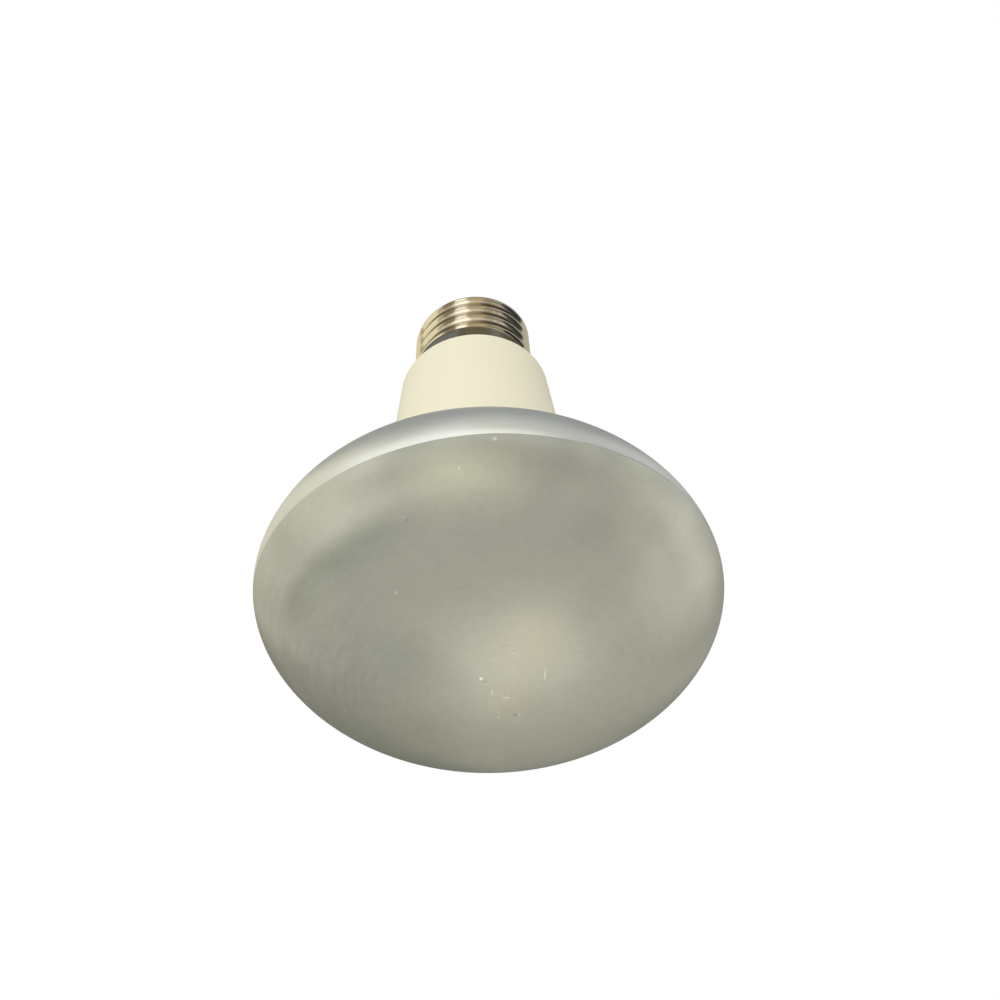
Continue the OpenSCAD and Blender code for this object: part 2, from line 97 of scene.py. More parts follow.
class LampSizes(bpy.types.PropertyGroup):
    """Sizes of the lamp that the solid model doesn't hand over."""

    dome_h: length("Dome depth", 22.4, "Depth of the dome in front of the greatest diameter")
    dome_fullness: bpy.props.FloatProperty(
        name="Dome fullness", description="2 is an ellipse, and less is more pointed", default=1.84)
    rim_h: length("Rim depth", 23.4, "Half depth of the ellipse behind the greatest diameter")
    rim_sweep: bpy.props.FloatProperty(
        name="Rim sweep", description="How far the rim turns before the flank starts",
        default=math.radians(33), subtype="ANGLE")
    neck_r: length("Neck radius", 15.6, "Radius of the glass neck")
    neck_round: length("Neck edge", 2, "Rounding at the end of the neck")
    top_r: length("Housing radius at the cap", 16, "Radius of the housing beside the screw cap")
    mouth_r: length("Housing radius at the mouth", 18.4, "Radius of the housing round the neck")
    wall: length("Housing wall", 1.4, "Wall of the moulding")
    spigot_r: length("Spigot radius", 12.75, "Radius of the spigot inside the shell")
    corner_r: length("Housing corner", 1.3, "Rounded corner beside the screw cap")
    mouth_edge_r: length("Mouth edge", 0.5, "Rounded edge at the mouth")
    rib_w: length("Rib width", 1.4, "Width of a rib inside the housing")
    rib_depth: length("Rib depth", 1, "How far a rib stands out from the wall")
    pitch: length("Thread pitch", 3.629, "Pitch of the round thread")
    thread_depth: length("Thread depth", 1.1, "Depth of a groove below the crests")
    thread_turn: bpy.props.FloatProperty(
        name="Thread turn", description="Turn of the thread about the axis", default=math.radians(125),
        subtype="ANGLE")
    skirt_h: length("Skirt", 6.4, "Height of the plain skirt of the shell")
    sheet: length("Sheet", 0.3, "Thickness of the shell's sheet")
    roll_r: length("Roll", 2.4, "Radius of the roll at the end of the shell")
    eye_r: length("Eye", 9.7, "Radius of the opening in the end of the shell")
    contact_wall: length("Contact sheet", 0.4, "Thickness of the contact plate")
    contact_bore_r: length("Contact bore", 1, "Radius of the bore for the wire")
    solder_r: length("Solder radius", 3.4, "Radius of the solder at its foot")
    solder_flat_r: length("Solder flat", 2, "Radius of the flat end of the solder")


def tone(name, value, description):
    """A colour as a property."""
    return bpy.props.FloatVectorProperty(
        name=name, description=description, subtype="COLOR", default=value)


class LampLooks(bpy.types.PropertyGroup):
    """Colours of the lamp."""

    satin_glass: tone("Satin glass", (0.375, 0.378, 0.318), "Middle tone of the satin face")
    silvering: tone("Silvering", (0.72, 0.735, 0.72), "Tone of the silvered back")
    cream: tone("Cream", (0.90, 0.85, 0.64), "Colour of the housing")
    nickel: tone("Nickel", (0.82, 0.74, 0.58), "Colour of the plated shell")
    # A darker, browner tone laid in the grooves of the thread
    groove_darkening: tone("Groove film", (0.10, 0.07, 0.04), "Brown film in the grooves of the thread")


class StageLook(bpy.types.PropertyGroup):
    """Floor, light and camera."""

    floor_z: length("Floor height", -300, "Height of the floor below the contact")
    sky: bpy.props.FloatProperty(
        name="Soft light", description="Strength of the light from all round", default=0.74)
    key: bpy.props.FloatProperty(
        name="Key lamp", description="Power of the lamp on the left", default=3.1, unit="POWER")
    low: bpy.props.FloatProperty(
        name="Low lamp", description="Power of the lamp below and behind the face", default=0.09,
        unit="POWER")


def sizes():
    """The lamp's sizes."""
    return bpy.context.scene.lamp_sizes


def looks():
    """The lamp's colours."""
    return bpy.context.scene.lamp_looks


# Outlines, as lists of (radius, height) from one end to the other


def arc(centre, radius, start, end, steps):
    """Part of a circle from one angle to another, in degrees."""
    turns = [math.radians(start + (end - start) * i / steps) for i in range(steps + 1)]
    return [(centre[0] + radius * math.cos(t), centre[1] + radius * math.sin(t)) for t in turns]


def widest_z():
    """Height of the bulb's greatest diameter."""
    return FACE_Z + sizes().dome_h


def dome_outline(steps=110):
    """Satin dome from its pole to the greatest diameter."""
    s = sizes()
    power = 2 / s.dome_fullness
    turns = [math.pi / 2 * i / steps for i in range(steps)]
    pole_z = widest_z()
    return [(BULB_R * math.sin(t) ** power, pole_z - s.dome_h * math.cos(t) ** power) for t in turns]


def rim_outline(steps=40):
    """Rounded rim behind the greatest diameter."""
    s = sizes()
    turns = [s.rim_sweep * i / steps for i in range(steps + 1)]
    return [(BULB_R * math.cos(t), widest_z() + s.rim_h * math.sin(t)) for t in turns]


def flank_outline(steps=48):
    """Silvered flank from the rim to the neck, tangent to both."""
    s = sizes()
    rim_reach, neck_reach = 0.52, 0.22
    start, end = Vector(rim_outline()[-1]), Vector((s.neck_r, MOUTH_Z))
    away = Vector((-BULB_R * math.sin(s.rim_sweep), s.rim_h * math.cos(s.rim_sweep))).normalized()
    run = (end - start).length
    handles = [start, start + away * run * rim_reach, end - Vector((0, run * neck_reach)), end]
    points = []
    for i in range(1, steps + 1):
        t = i / steps
        shares = ((1 - t) ** 3, 3 * t * (1 - t) ** 2, 3 * t * t * (1 - t), t**3)
        points.append(tuple(sum((h * w for h, w in zip(handles, shares)), Vector((0, 0)))))
    return points


def bulb_outline():
    """Whole glass from the pole of the dome to the end of the neck."""
    s = sizes()
    edge = arc((s.neck_r - s.neck_round, NECK_END_Z - s.neck_round), s.neck_round, 0, 90, 10)
    return dome_outline() + rim_outline() + flank_outline() + edge + [(0, NECK_END_Z)]


def housing_radius(z):
    """Outer radius of the tapered housing at a height."""
    s = sizes()
    return s.top_r + (s.mouth_r - s.top_r) * (SHOULDER_Z - z) / (SHOULDER_Z - MOUTH_Z)


def housing_outline(steps=24):
    """Closed outline of the moulding, from the spigot round the outside and back up the inside."""
    s = sizes()
    inner_top = SHOULDER_Z - s.wall
    spigot_in = s.spigot_r - s.wall
    spigot = [(spigot_in, SPIGOT_TOP_Z), (s.spigot_r, SPIGOT_TOP_Z), (s.spigot_r, SHOULDER_Z)]
    corner = arc((s.top_r - s.corner_r, SHOULDER_Z - s.corner_r), s.corner_r, 90, 0, 14)
    mouth = arc((s.mouth_r - s.mouth_edge_r, MOUTH_Z + s.mouth_edge_r), s.mouth_edge_r, 0, -90, 8)
    (r0, z0), (r1, z1) = corner[-1], mouth[0]
    taper = [(r0 + (r1 - r0) * i / steps, z0 + (z1 - z0) * i / steps) for i in range(1, steps)]
    inside = [
        (housing_radius(MOUTH_Z) - s.wall, MOUTH_Z),
        (housing_radius(inner_top) - s.wall, inner_top),
        (spigot_in, inner_top),
    ]
    return spigot + corner + taper + mouth + inside


def shell_outline(steps=150, roll_steps=14, sweep=84):
    """Closed outline of the shell's blank before its thread is rolled."""
    s = sizes()
    roll_z, low = SHELL_END_Z - s.roll_r, SHOULDER_Z + s.skirt_h
    reach = SHELL_R - s.roll_r - s.eye_r

    def wall(inset):
        """One face of the sheet from the housing to the eye."""
        face = [(SHELL_R - inset, SHOULDER_Z), (SHELL_R - inset, SHOULDER_Z + s.skirt_h / 2)]
        face += [(SHELL_R - inset, low + (roll_z - low) * i / steps) for i in range(steps)]
        roll = arc((SHELL_R - s.roll_r, roll_z), s.roll_r - inset, 0, sweep, roll_steps)
        return face + [(r - reach * i / roll_steps, z) for i, (r, z) in enumerate(roll)]

    return wall(0) + wall(s.sheet)[::-1]


def insulator_outline(steps=6):
    """Closed outline of the glass insulator, from its bore round the foot and up the cone."""
    s = sizes()
    tube_r = s.contact_bore_r + s.contact_wall
    gap = 0.1 * MM
    foot_z, roll_z = node_foot("insulator"), SHELL_END_Z - s.roll_r
    neck_r = s.eye_r - gap
    cone_z = PLATE_Z - s.contact_wall
    cone_top = (PLATE_R + s.contact_wall, cone_z)
    lip = (neck_r, SHELL_END_Z + s.sheet)
    cone = [tuple(a + (b - a) * i / steps for a, b in zip(lip, cone_top)) for i in range(steps + 1)]
    foot = [(tube_r, foot_z), (INSULATOR_R, foot_z)]
    neck = [(INSULATOR_R, roll_z - s.sheet), (neck_r, roll_z + gap)]
    return foot + neck + cone + [(tube_r, cone_z)]


def contact_outline():
    """Closed outline of the contact plate and its tube."""
    s = sizes()
    wall, half = s.contact_wall, s.contact_wall / 2
    tube_r, under_z, tube_z = s.contact_bore_r + wall, PLATE_Z - wall, node_foot("centre_contact")
    edge = arc((PLATE_R - half, PLATE_Z - half), half, -30, 90, 5)
    tube = [(s.contact_bore_r, tube_z), (tube_r, tube_z)]
    plate = [(tube_r, under_z), (PLATE_R - half / 2, under_z)]
    return tube + plate + edge + [(s.contact_bore_r, PLATE_Z)]


def solder_outline(steps=12):
    """Rounded drop of solder with its flat end."""
    s = sizes()
    turns = [math.pi / 2 * i / steps for i in range(steps + 1)]
    bulge = s.solder_r - s.solder_flat_r
    side = [(s.solder_flat_r + bulge * math.cos(t), PLATE_Z * (1 - math.sin(t))) for t in turns]
    return [(0, PLATE_Z)] + side + [(0, 0)]


# Geometry node trees


class Nodes:
    """Short calls for building a node tree."""

    def __init__(self, tree):
        self.tree = tree

    def put(self, socket, value):
        """Gives an input a value, or a link where the value is another node's output."""
        if isinstance(value, bpy.types.NodeSocket):
            self.tree.links.new(value, socket)
        elif hasattr(value, "__len__") and socket.type == "RGBA":
            socket.default_value = (*value[:3], 1.0)
        else:
            socket.default_value = value

    def add(self, kind, inputs=None, **settings):
        """A node with its settings and its inputs."""
        node = self.tree.nodes.new(kind)
        for name, value in settings.items():
            setattr(node, name, value)
        for key, value in (inputs or {}).items():
            self.put(self.open_socket(node.inputs, key), value)
        return node

    @staticmethod
    def open_socket(sockets, key):
        """A socket by its number, or the one in use by its name."""
        if isinstance(key, int):
            return sockets[key]
        return next(s for s in sockets if s.name == key and s.enabled)

    def math(self, operation, *values, clamp=False):
        """Result of a math node."""
        settings = {"operation": operation, "use_clamp": clamp}
        return self.add("ShaderNodeMath", dict(enumerate(values)), **settings).outputs[0]

    def plus(self, *values):
        """Sum of two values."""
        return self.math("ADD", *values)

    def less(self, *values):
        """First value less the second."""
        return self.math("SUBTRACT", *values)

    def times(self, *values):
        """Product of two values."""
        return self.math("MULTIPLY", *values)

    def vector(self, operation, *values):
        """Vector result of a vector math node."""
        return self.add("ShaderNodeVectorMath", dict(enumerate(values)), operation=operation).outputs[0]

    def smooth(self, value, low, high):
        """Smooth step from 0 to 1 between two values."""
        return self.add(
            "ShaderNodeMapRange", {"Value": value, "From Min": low, "From Max": high},
            interpolation_type="SMOOTHSTEP").outputs[0]


def new_tree(name, **inputs):
    """A geometry node tree with a geometry and named inputs, and the sockets of those inputs."""
    tree = bpy.data.node_groups.new(name, "GeometryNodeTree")
    tree.interface.new_socket(name="Geometry", in_out="INPUT", socket_type="NodeSocketGeometry")
    kinds = {int: "NodeSocketInt", float: "NodeSocketFloat", type(None): "NodeSocketMaterial"}
    for label, value in inputs.items():
        socket = tree.interface.new_socket(
            name=label.replace("_", " "), in_out="INPUT", socket_type=kinds[type(value)])
        if value is not None:
            socket.default_value = value
    tree.interface.new_socket(name="Geometry", in_out="OUTPUT", socket_type="NodeSocketGeometry")
    n = Nodes(tree)
    return tree, n, n.add("NodeGroupInput").outputs


def end_tree(n, geometry, material):
    """Ends a tree with real geometry in its material."""
    smooth = n.add("GeometryNodeSetShadeSmooth", {"Geometry": geometry}).outputs[0]
    real = n.add("GeometryNodeRealizeInstances", {0: smooth}).outputs[0]
    done = n.add("GeometryNodeSetMaterial", {"Geometry": real, "Material": material}).outputs[0]
    n.add("NodeGroupOutput", {0: done})


def turning_tree():
    """Turns an outline, given as points in the XZ plane, round the Z axis, and rolls its thread."""
    tree, n, given = new_tree(
        "turned_piece", Segments=128, Pitch=1.0, Thread_depth=0.0, Thread_foot=0.0, Thread_top=0.0,
        Thread_runout=1.0, Thread_turn=0.0, Roll_height=1.0, Merge_distance=1e-6, Material=None)

    # A grid with a row for each point of the outline and a column for each step of the turn
    across = n.plus(given["Segments"], 1.0)
    rows = n.add("GeometryNodeAttributeDomainSize", {0: given["Geometry"]}).outputs["Point Count"]
    grid = n.add(
        "GeometryNodeMeshGrid", {"Size X": 1.0, "Size Y": 1.0, "Vertices X": rows, "Vertices Y": across})
    index = n.add("GeometryNodeInputIndex").outputs[0]
    row = n.math("FLOOR", n.math("DIVIDE", n.plus(index, 0.5), across))
    column = n.less(index, n.times(row, across))
    turn = n.times(n.math("DIVIDE", column, given["Segments"]), math.tau)
    place = n.add("GeometryNodeInputPosition").outputs[0]
    sample = n.add(
        "GeometryNodeSampleIndex", {"Geometry": given["Geometry"], "Index": row}, data_type="FLOAT_VECTOR")
    n.put(n.open_socket(sample.inputs, "Value"), place)
    outline = n.add("ShaderNodeSeparateXYZ", {0: n.open_socket(sample.outputs, "Value")}).outputs
    height = outline["Z"]

    # The thread: a wave that climbs one pitch in a turn and runs out into the skirt
    threaded = n.less(n.math("MINIMUM", height, given["Thread top"]), given["Thread foot"])
    rise = n.math("DIVIDE", threaded, given["Pitch"])
    wave = n.math("COSINE", n.plus(n.less(n.times(rise, math.tau), turn), given["Thread turn"]))
    groove = n.less(0.5, n.times(wave, 0.5))
    begun = n.math(
        "DIVIDE", n.less(height, given["Thread foot"]), given["Thread runout"], clamp=True)
    depth = n.times(n.times(groove, begun), given["Thread depth"])
    radius = n.less(outline["X"], depth)
    x, y = n.times(radius, n.math("COSINE", turn)), n.times(radius, n.math("SINE", turn))
    ring = n.add("ShaderNodeCombineXYZ", {"X": x, "Y": y, "Z": height}).outputs[0]
    turned = n.add(
        "GeometryNodeSetPosition", {"Geometry": grid.outputs["Mesh"], "Position": ring}).outputs[0]

    # How deep in a groove each point lies, for the darker grooves in the finish
    over = n.math("MAXIMUM", n.less(height, given["Thread top"]), 0.0)
    left = n.less(1.0, n.math("DIVIDE", over, given["Roll height"], clamp=True))
    marked = n.add(
        "GeometryNodeStoreNamedAttribute",
        {"Geometry": turned, "Name": "groove", "Value": n.times(n.times(groove, begun), left)},
        data_type="FLOAT", domain="POINT").outputs[0]
    merged = n.add(
        "GeometryNodeMergeByDistance", {"Geometry": marked, "Distance": given["Merge distance"]}).outputs[0]
    end_tree(n, merged, given["Material"])
    return tree


def ring_tree():
    """Repeats a piece round the Z axis at equal angles."""
    tree, n, given = new_tree("ring_of_pieces", Count=3, First_angle=0.0, Material=None)
    points = n.add("GeometryNodePoints", {"Count": given["Count"]}).outputs[0]
    index = n.add("GeometryNodeInputIndex").outputs[0]
    angle = n.plus(n.times(n.math("DIVIDE", index, given["Count"]), math.tau), given["First angle"])
    turn = n.add("ShaderNodeCombineXYZ", {"Z": angle}).outputs[0]
    placed = n.add(
        "GeometryNodeInstanceOnPoints",
        {"Points": points, "Instance": given["Geometry"], "Rotation": turn}).outputs[0]
    end_tree(n, placed, given["Material"])
    return tree


def run_tree(piece, tree, **values):
    """Runs a node tree on a piece with named values, and keeps the result as a plain mesh."""
    modifier = piece.modifiers.new("build", "NODES")
    modifier.node_group = tree
    keys = {i.name: i.identifier for i in tree.interface.items_tree if i.in_out == "INPUT"}
    for name, value in values.items():
        modifier[keys[name.replace("_", " ")]] = value
    depsgraph = bpy.context.evaluated_depsgraph_get()
    mesh = bpy.data.meshes.new_from_object(piece.evaluated_get(depsgraph), depsgraph=depsgraph)
    piece.modifiers.remove(modifier)
    piece.data = mesh
    return piece


def new_piece(name, points, edges=(), faces=()):
    """A mesh object at the origin."""
    mesh = bpy.data.meshes.new(name)
    mesh.from_pydata(points, edges, faces)
    piece = bpy.data.objects.new(name, mesh)
    bpy.context.scene.collection.objects.link(piece)
    return piece


def turned_piece(name, outline, material, segments=256, closed=False, **thread):
    """A piece turned from an outline, which runs from axis to axis, or is closed for a hollow ring."""
    points = [(r, 0, z) for r, z in (outline + outline[:1] if closed else outline)]
    piece = new_piece(name, points, [(i, i + 1) for i in range(len(points) - 1)])
    tree = bpy.data.node_groups.get("turned_piece") or turning_tree()
    return run_tree(piece, tree, Segments=segments, Material=material, **thread)


def edit(piece, change):
    """Changes a piece's mesh with a function that gets it as a bmesh, and turns its faces outwards."""
    work = bmesh.new()
    work.from_mesh(piece.data)
    change(work)
    bmesh.ops.recalc_face_normals(work, faces=work.faces)
    work.to_mesh(piece.data)
    work.free()


def sharpen(piece, angle=35):
    """Keeps the edges sharp where two faces meet at more than an angle in degrees."""

    def mark(work):
        for e in work.edges:
            e.smooth = not (len(e.link_faces) == 2 and e.calc_face_angle() > math.radians(angle))

    edit(piece, mark)


def finish_piece(piece, node):
    """Fixes a piece to the lamp in place of a node of the solid model."""
    sharpen(piece)
    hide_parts(node)
    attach(piece, "root")


# Materials


class Finish(Nodes):
    """A material with a principled shader, and the pattern helpers that the finishes share."""

    def __init__(self, name, **settings):
        self.material = bpy.data.materials.new(name)
        self.material.use_nodes = True
        super().__init__(self.material.node_tree)
        self.shader = self.tree.nodes["Principled BSDF"]
        for key, value in settings.items():
            self.put(self.shader.inputs[key.replace("_", " ")], value)
        self.place = self.add("ShaderNodeTexCoord").outputs["Object"]

    def feed(self, key, socket):
        """Links a socket into the shader."""
        self.tree.links.new(socket, self.shader.inputs[key])

    def noise(self, scale, detail=3.0, stretch=(1, 1, 1), seed=0.0, place=None):
        """Noise from 0 to 1, with its scale in cells to a metre."""
        mapping = self.add(
            "ShaderNodeMapping",
            {"Vector": place or self.place, "Scale": stretch, "Location": (seed, seed, seed)})
        return self.add(
            "ShaderNodeTexNoise", {"Vector": mapping.outputs[0], "Scale": scale, "Detail": detail}
        ).outputs["Fac"]

    def swing(self, pattern, amount):
        """A pattern from 0 to 1 made a factor that swings about 1."""
        return self.plus(self.times(self.less(pattern, 0.5), 2 * amount), 1.0)

    def spot(self, centre, radius, stretch=(1, 1, 1), core=0.0):
        """1 at a place on the piece, fading to 0 at a radius, both in millimetres."""
        offset = self.vector("SUBTRACT", self.place, tuple(c * MM for c in centre))
        scaled = self.vector("MULTIPLY", offset, tuple(1 / (radius * MM * s) for s in stretch))
        away = self.add("ShaderNodeVectorMath", {0: scaled}, operation="LENGTH").outputs["Value"]
        return self.less(1.0, self.smooth(away, core, 1.0))

    def mix(self, factor, first, second, blend="MIX"):
        """Colour mixed from two colours."""
        node = self.add(
            "ShaderNodeMix", {0: factor, 6: first, 7: second}, data_type="RGBA", blend_type=blend)
        return node.outputs[2]

    def tint(self, factor, colour, tint):
        """A colour multiplied by a tint, as far as a factor says."""
        return self.mix(factor, colour, self.mix(1.0, colour, tint, "MULTIPLY"))

    def grey(self, value):
        """A value as a colour."""
        return self.add("ShaderNodeCombineXYZ", {0: value, 1: value, 2: value}).outputs[0]

    def bump(self, height, distance, strength=1.0, normal=None):
        """Normal from a height, with its depth in millimetres."""
        inputs = {"Height": height, "Distance": distance * MM, "Strength": strength}
        if normal is not None:
            inputs["Normal"] = normal
        return self.add("ShaderNodeBump", inputs).outputs[0]


def shade(colour, factor):
    """A colour made lighter or darker."""
    return tuple(c * factor for c in colour)


# Painted reflections and shade on the satin face, with some uneven tone of the frosting itself: centre in
# mm in front of the greatest diameter, radius in mm, tint
FROSTING_AND_PAINTED_REFLECTIONS = (
    ((-5, -38, -7.3), 8.5, (1.36, 1.34, 1.23)),
    ((3, -37.2, -8.5), 8, (1.24, 1.22, 1.14)),
    ((-15, -34, -8), 7, (0.92, 0.92, 0.93)),
    ((-29, -8, -13), 10, (1.09, 1.09, 1.12)),
    ((-38, -8, -4), 14, (1.18, 1.18, 1.2)),
    ((33, -16, -9), 16, (1.46, 1.44, 1.44)),
    ((20, -33, -6), 11, (1.13, 1.14, 1.14)),
    ((-13, -11, -20), 11, (0.89, 0.91, 0.9)),
    ((30, 4, -14), 13, (1.15, 1.13, 1.1)),
    ((-12, 26, -17), 17, (0.7, 0.78, 0.76)),
    ((-22, 14, -16), 12, (0.88, 0.9, 0.9)),
    ((8, -16, -20), 9, (1.1, 1.07, 1.03)),
    ((14, 30, -14), 14, (0.88, 0.86, 0.8)),
    ((4, -2, -22), 8, (1.0, 0.965, 0.92)),
    ((0, 15, -21), 6, (1.05, 1.07, 1.03)),
    ((24, -31, -2), 9, (1.36, 1.35, 1.33)),
    ((32, -23.5, -2.5), 9, (1.38, 1.38, 1.38)),
    ((28, -26, -5.5), 7.5, (1.3, 1.29, 1.28)),
    ((12, -38, -3), 8, (1.1, 1.1, 1.12)),
    ((-25, -19.5, -12), 7, (1.15, 1.15, 1.15)),
    ((22, -16.5, -15.5), 8, (1.07, 1.06, 1.03)),
    ((24, -31.5, -3.3), 7, (1.2, 1.2, 1.2)),
    ((30, -25, -4.2), 7, (1.22, 1.22, 1.22)),
    ((34, -15, -6.2), 7, (1.22, 1.22, 1.21)),
    ((18.5, -34.5, -3.5), 6, (1.13, 1.13, 1.14)),
    ((17, -30, -10), 7, (0.86, 0.86, 0.85)),
    ((26, -29, -4.5), 6, (1.17, 1.17, 1.18)),
    ((31.5, -19.5, -7), 5, (1.12, 1.12, 1.13)),
    ((16, -36.5, -1.5), 5, (1.188, 1.188, 1.188)),
    ((28.5, -17.5, -11.5), 6, (0.93, 0.93, 0.92)),
    ((-24.5, -29.5, -5.5), 9, (1.12, 1.13, 1.12)),
    ((6, -37.5, -6), 7, (1.06, 1.06, 1.06)),
    ((-13.5, -36, -5.5), 8, (1.06, 1.06, 1.06)),
    ((-19, -33.5, -5.5), 7, (1.05, 1.05, 1.05)),
    ((0.5, -38, -6), 7, (1.08, 1.08, 1.08)),
    ((28, -28, -3), 5, (1.07, 1.07, 1.07)),
    ((-25.5, -14, -14.5), 6, (1.08, 1.08, 1.08)),
    ((35, -7.5, -8.5), 5, (1.07, 1.07, 1.07)),
    ((18.5, -30.5, -9), 6, (0.96, 0.96, 0.96)),
)

# Side on which a painted reflection lightens the face towards the rim: centre and radius in mm, and the
# distances from the axis between which it brightens, and between which a painted darker zone inside it
# comes and goes
REFLECTION_SIDE, REFLECTION_SIDE_R = (-27, -29, -7), 22
REFLECTION_BAND = (33.5 * MM, 36.5 * MM)
DARK_ZONE_FROM = (29 * MM, 33.5 * MM)
DARK_ZONE_TO = (33.5 * MM, 36 * MM)

# Place that was wiped most: centre and radius in mm
WIPED, WIPED_R = (-27, -4, -13), 24

# Line of the silvering: its height over the greatest diameter, how far it rises from the axis to the
# right and to the back, how far it wanders, and half the width of its soft edge
LINE_H, LINE_RIGHT, LINE_BACK = 0.26 * MM, 1.58 * MM, 1.8 * MM
LINE_WANDER, LINE_SOFT = 0.25 * MM, 0.1 * MM

# Painted shade on the glass just under the line: centre and radius in mm, and its heights from the line
LINE_SHADE, LINE_SHADE_R, LINE_SHADE_H = (-1, -40, -2), 18, (-3.4 * MM, -0.4 * MM)

# Fields of fine flecks: centre in mm, radius in mm, lightness
FLECKS = (
    ((3.5, -13.5, -20.6), 3.2, 0.16),
    ((0.8, -9.0, -21.6), 3.0, 0.2),
    ((2.4, -4.2, -22.1), 3.4, 0.26),
    ((4.8, 1.0, -22.1), 2.6, 0.24),
    ((16.8, -9.0, -19.0), 3.4, 0.14),
    ((-2.6, -37.6, -6.4), 2.6, 0.16),
)

# Specks and a scratch: centre in mm, radius in mm, stretch, lightness, which is below 0 where dark
ROUND = (1, 1, 1)
SPECKS = (
    ((2.7, -39.6, -2.3), 0.5, ROUND, 0.4),
    ((-2.6, -37.7, -6.4), 0.45, (0.6, 1, 1.4), 0.3),
    ((-10.3, -32.1, -10.9), 0.4, ROUND, -0.25),
    ((-10.9, -32.4, -10.6), 0.3, ROUND, 0.2),
    ((3.4, -32.2, -11.8), 0.4, (1.4, 0.8, 1), -0.2),
    ((-12.6, -22.5, -16.3), 0.5, (0.5, 1, 1), 0.3),
    ((-0.6, -8.7, -21.7), 0.42, ROUND, 0.6),
    ((-0.1, -8.1, -21.8), 0.3, ROUND, -0.4),
    ((1.0, -5.6, -22.0), 0.5, (0.35, 1.6, 1), 0.3),
    ((3.2, -4.4, -22.1), 0.5, (1.5, 0.4, 1), 0.3),
    ((4.4, 0.0, -22.2), 0.45, (1.3, 0.6, 1), -0.6),
    ((5.1, 0.1, -22.2), 0.35, (1.3, 0.5, 1), 0.35),
    ((1.9, 0.4, -22.3), 0.32, ROUND, 0.4),
    ((9.0, -8.4, -21.0), 1.6, (0.13, 1, 1), 0.3),
)


def satin_glass_material():
    """Frosted face in front and silvering behind, parted at the edge of the coating."""
    look = looks()
    f = Finish("satin_silvered_glass")
    x, y, z = f.add("ShaderNodeSeparateXYZ", {0: f.place}).outputs

    def on_glass(place):
        """A place given from the middle of the greatest diameter, moved to the piece's frame."""
        return place[0], place[1], place[2] + widest_z() / MM

    # Frosting: broad clouds, smaller mottling and a fine grain
    cloud = f.swing(f.noise(22, detail=2, seed=3.1), 0.05)
    mottle = f.swing(f.noise(120, detail=4, seed=1.2), 0.06)
    grain = f.noise(1100, detail=3, seed=1.7)
    uneven = f.times(f.times(cloud, mottle), f.swing(grain, 0.08))
    face = f.mix(1.0, tuple(look.satin_glass), f.grey(uneven), "MULTIPLY")
    # Soft spots that paint reflections and shade into the face's colour, with some uneven frosting
    for centre, radius, tint in FROSTING_AND_PAINTED_REFLECTIONS:
        face = f.tint(f.spot(on_glass(centre), radius), face, tint)

    # Painted reflection that lightens the face towards the rim on one side, with a painted darker zone
    # inside it
    flat = f.vector("MULTIPLY", f.place, (1, 1, 0))
    away = f.add("ShaderNodeVectorMath", {0: flat}, operation="LENGTH").outputs["Value"]
    side = f.spot(on_glass(REFLECTION_SIDE), REFLECTION_SIDE_R, core=0.5)
    outside = f.plus(away, f.times(f.less(f.noise(60, detail=2, seed=6.6), 0.5), 2 * MM))
    face = f.tint(f.times(f.smooth(outside, *REFLECTION_BAND), side), face, (1.28, 1.26, 1.28))
    dark_zone = f.times(f.times(f.smooth(outside, *DARK_ZONE_FROM), side), f.less(1.0, f.smooth(outside, *DARK_ZONE_TO)))
    face = f.tint(dark_zone, face, (0.86, 0.88, 0.86))

    # Wiping marks that run round the axis
    unit = f.vector("MULTIPLY", f.vector("NORMALIZE", flat), (4 * MM, 4 * MM, 0))
    ring = f.vector("ADD", unit, f.add("ShaderNodeCombineXYZ", {2: away}).outputs[0])
    wiped = f.plus(0.08, f.times(f.spot(on_glass(WIPED), WIPED_R, core=0.3), 0.24))
    wipe = f.times(f.less(f.noise(1200, detail=3, seed=2.2, place=ring), 0.5), wiped)
    face = f.mix(1.0, face, f.grey(f.plus(wipe, 1.0)), "MULTIPLY")

    # Flecks, specks and the scratch
    fleck = f.smooth(f.noise(2200, detail=3, seed=4.4), 0.52, 0.66)
    for centre, radius, light in FLECKS:
        field = f.times(f.spot(on_glass(centre), radius), fleck)
        face = f.mix(f.times(field, light * 0.6), face, (0.95, 0.93, 0.8))
    for centre, radius, stretch, light in SPECKS:
        dot = f.times(f.spot(on_glass(centre), radius, stretch, core=0.2), abs(light))
        face = f.mix(dot, face, (0.95, 0.95, 0.88) if light > 0 else (0.05, 0.05, 0.04))

    # Silvering behind its line, which rises to the right and to the back
    edge = f.less(f.less(z, widest_z() + LINE_H), f.times(x, LINE_RIGHT / BULB_R))
    edge = f.less(edge, f.times(y, LINE_BACK / BULB_R))
    edge = f.plus(edge, f.times(f.less(f.noise(90, detail=2, seed=9.1), 0.5), LINE_WANDER))
    silver = f.smooth(edge, -LINE_SOFT, LINE_SOFT)
    # Painted shade on the face just under the silvering's line
    line_shade = f.times(f.smooth(edge, *LINE_SHADE_H), f.spot(on_glass(LINE_SHADE), LINE_SHADE_R, core=0.5))
    face = f.tint(line_shade, face, (0.88, 0.89, 0.9))
    brushed = f.swing(f.noise(300, detail=3, stretch=(1, 1, 0.3), seed=7.3), 0.03)
    back = f.mix(1.0, tuple(look.silvering), f.grey(brushed), "MULTIPLY")

    f.feed("Base Color", f.mix(silver, face, back))
    f.feed("Metallic", f.plus(0.34, f.times(silver, 0.56)))
    f.feed("Roughness", f.times(f.swing(grain, 0.05), f.plus(0.38, f.times(silver, 0.05))))
    f.feed("Normal", f.bump(grain, 0.006, 0.35, f.bump(silver, 0.05, 1.0)))
    return f.material


